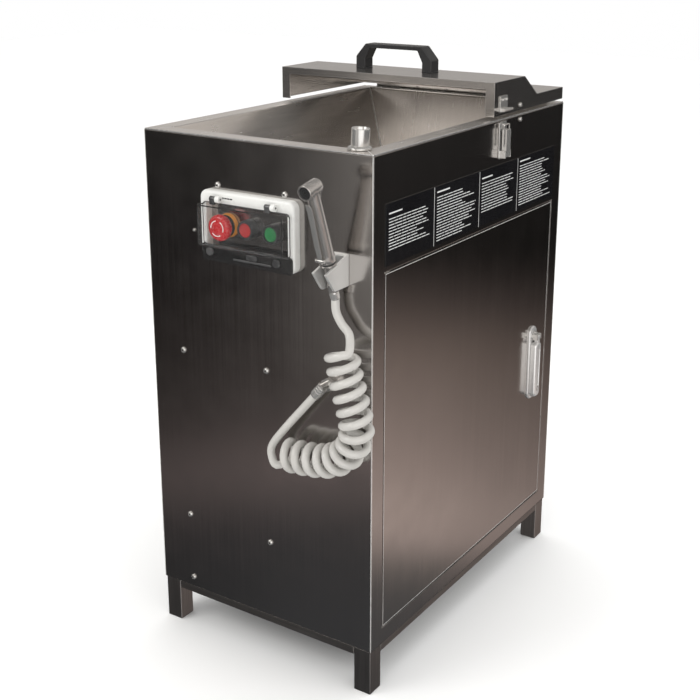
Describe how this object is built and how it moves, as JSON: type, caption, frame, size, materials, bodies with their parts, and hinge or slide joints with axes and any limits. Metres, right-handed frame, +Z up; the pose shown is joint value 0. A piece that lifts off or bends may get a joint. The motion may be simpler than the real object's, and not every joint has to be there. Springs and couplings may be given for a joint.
{
  "type": "food waste grinder",
  "caption": "Floor-standing stainless grinder cabinet with an open sloping hopper, hinged guard lid, front push-button box, coiled rinse hose and side service door.",
  "frame": {"origin": "on the floor, below the centre of the object's bounding box, hose left out", "axes": "+Z up, -Y to the front with the controls and the rinse hose, +X to the side with the service door"},
  "size_m": [0.4325, 0.7426, 0.9423],
  "materials": {
    "brushed_steel": "satin stainless sheet and tube with a vertical grain",
    "bright_steel": "polished stainless or chromed fitting",
    "cast_alloy": "satin cast alloy",
    "painted_motor": "dark machine enamel, satin",
    "black_plastic": "black moulded plastic, satin",
    "white_plastic": "white moulded plastic, soft gloss",
    "clear_plastic": "clear moulded polycarbonate",
    "red_plastic": "red moulded plastic, soft gloss",
    "green_plastic": "green moulded plastic, soft gloss",
    "orange_plastic": "yellow-orange moulded plastic",
    "black_label": "black printed label",
    "rubber": "black moulded rubber",
    "brass": "plain cast and turned brass",
    "hose_cream": "glossy cream plastic hose"
  },
  "bodies": {
    "cabinet": {"post_front_left": "brushed_steel", "post_rear_left": "brushed_steel", "post_front_right": "brushed_steel", "post_rear_right": "brushed_steel", "rail_front": "brushed_steel", "rail_rear": "brushed_steel", "rail_left": "brushed_steel", "rail_right": "brushed_steel", "top_rail_left": "brushed_steel", "top_rail_right": "brushed_steel", "front_panel": "brushed_steel", "back_panel": "brushed_steel", "left_panel": "brushed_steel", "right_panel": "brushed_steel", "label_strip": "black_label", "hopper": "brushed_steel", "rim_spout": "bright_steel", "lid_hinge": "bright_steel", "latch_base": "bright_steel", "door_pivot_lower": "bright_steel", "door_pivot_upper": "bright_steel", "control_frame": "white_plastic", "estop_collar": "orange_plastic", "stop_bezel": "black_plastic", "start_bezel": "black_plastic", "sprayer_holder": "cast_alloy", "hose_lead": "hose_cream", "hose_coil": "hose_cream", "hose_tail": "hose_cream", "hose_elbow": "bright_steel", "throat_seal": "rubber", "grinding_chamber": "cast_alloy", "shredder_ring": "bright_steel", "motor_housing": "painted_motor", "motor_bridge": "brushed_steel", "drain_pipe": "bright_steel", "water_valve": "brass", "water_pipe": "bright_steel", "electrical_box": "cast_alloy", "cable_gland": "black_plastic"},
    "lid": {"lid_cover": "brushed_steel", "lid_handle": "black_plastic", "latch_keeper": "bright_steel"},
    "latch_lever": {"latch_lever": "bright_steel"},
    "latch_bail": {"latch_bail": "bright_steel"},
    "door": {"door_panel": "brushed_steel", "door_handle_base": "bright_steel"},
    "handle_swivel": {"door_handle_swivel": "bright_steel"},
    "handle_lever": {"door_handle_lever": "bright_steel"},
    "lock": {"lock_cylinder": "bright_steel"},
    "control_cover": {"control_cover": "clear_plastic"},
    "estop_stem": {"estop_stem": "black_plastic"},
    "estop_head": {"estop_head": "red_plastic"},
    "stop_button": {"stop_button": "red_plastic"},
    "start_button": {"start_button": "green_plastic"},
    "sprayer": {"sprayer_body": "bright_steel"},
    "sprayer_trigger": {"sprayer_trigger": "bright_steel"},
    "turntable": {"turntable": "bright_steel"},
    "swivel_lug_a": {"swivel_lug_a": "cast_alloy"},
    "swivel_lug_b": {"swivel_lug_b": "cast_alloy"}
  },
  "joints": [
    {"name": "lid_hinge", "type": "hinge", "parent": "cabinet", "child": "lid", "pos_m": [-0.0081, 0.3371, 0.8442], "axis": [-1, 0, 0], "range_deg": [0, 100]},
    {"name": "latch_lever_pivot", "type": "hinge", "parent": "cabinet", "child": "latch_lever", "pos_m": [0.2069, 0.1028, 0.784], "axis": [0, 1, 0], "range_deg": [0, 120]},
    {"name": "latch_bail_pivot", "type": "hinge", "parent": "latch_lever", "child": "latch_bail", "pos_m": [0.2069, 0.1028, 0.798], "axis": [0, 1, 0], "range_deg": [-5, 60]},
    {"name": "door_hinge", "type": "hinge", "parent": "cabinet", "child": "door", "pos_m": [0.1963, -0.2451, 0.385], "axis": [0, 0, -1], "range_deg": [0, 110]},
    {"name": "door_handle_turn", "type": "hinge", "parent": "door", "child": "handle_swivel", "pos_m": [0.1989, 0.2503, 0.432], "axis": [-1, 0, 0], "range_deg": [0, 90]},
    {"name": "door_handle_tilt", "type": "hinge", "parent": "handle_swivel", "child": "handle_lever", "pos_m": [0.2109, 0.2503, 0.432], "axis": [0, -1, 0], "range_deg": [0, 40]},
    {"name": "lock_turn", "type": "hinge", "parent": "handle_lever", "child": "lock", "pos_m": [0.2109, 0.2503, 0.334], "axis": [1, 0, 0], "range_deg": [0, 90]},
    {"name": "control_cover_hinge", "type": "hinge", "parent": "cabinet", "child": "control_cover", "pos_m": [-0.0081, -0.2997, 0.7515], "axis": [-1, 0, 0], "range_deg": [0, 110]},
    {"name": "estop_push", "type": "slide", "parent": "cabinet", "child": "estop_stem", "axis": [0, 1, 0], "range_m": [0, 0.005], "stiffness_N_per_m": 500, "springref_m": -0.002},
    {"name": "estop_twist", "type": "hinge", "parent": "estop_stem", "child": "estop_head", "pos_m": [-0.0533, -0.2947, 0.71], "axis": [0, 1, 0], "range_deg": [0, 45], "stiffness_Nm_per_rad": 0.05, "springref_deg": -5.73},
    {"name": "stop_push", "type": "slide", "parent": "cabinet", "child": "stop_button", "axis": [0, 1, 0], "range_m": [0, 0.003], "stiffness_N_per_m": 300, "springref_m": -0.002},
    {"name": "start_push", "type": "slide", "parent": "cabinet", "child": "start_button", "axis": [0, 1, 0], "range_m": [0, 0.003], "stiffness_N_per_m": 300, "springref_m": -0.002},
    {"name": "sprayer_lift", "type": "slide", "parent": "cabinet", "child": "sprayer", "axis": [0, -0.309, 0.9511], "range_m": [0, 0.12]},
    {"name": "sprayer_trigger_pivot", "type": "hinge", "parent": "sprayer", "child": "sprayer_trigger", "pos_m": [0.1474, -0.33295, 0.69704], "axis": [-1, 0, 0], "range_deg": [0, 3], "stiffness_Nm_per_rad": 0.3, "springref_deg": -11.46},
    {"name": "turntable_spin", "type": "hinge", "parent": "cabinet", "child": "turntable", "pos_m": [-0.0081, 0.1738, 0.5004], "axis": [0, 0, 1], "continuous": true},
    {"name": "swivel_lug_a_pivot", "type": "hinge", "parent": "turntable", "child": "swivel_lug_a", "pos_m": [-0.0531, 0.1738, 0.5059], "axis": [0, 0, 1], "continuous": true},
    {"name": "swivel_lug_b_pivot", "type": "hinge", "parent": "turntable", "child": "swivel_lug_b", "pos_m": [0.0369, 0.1738, 0.5059], "axis": [0, 0, 1], "continuous": true}
  ]
}
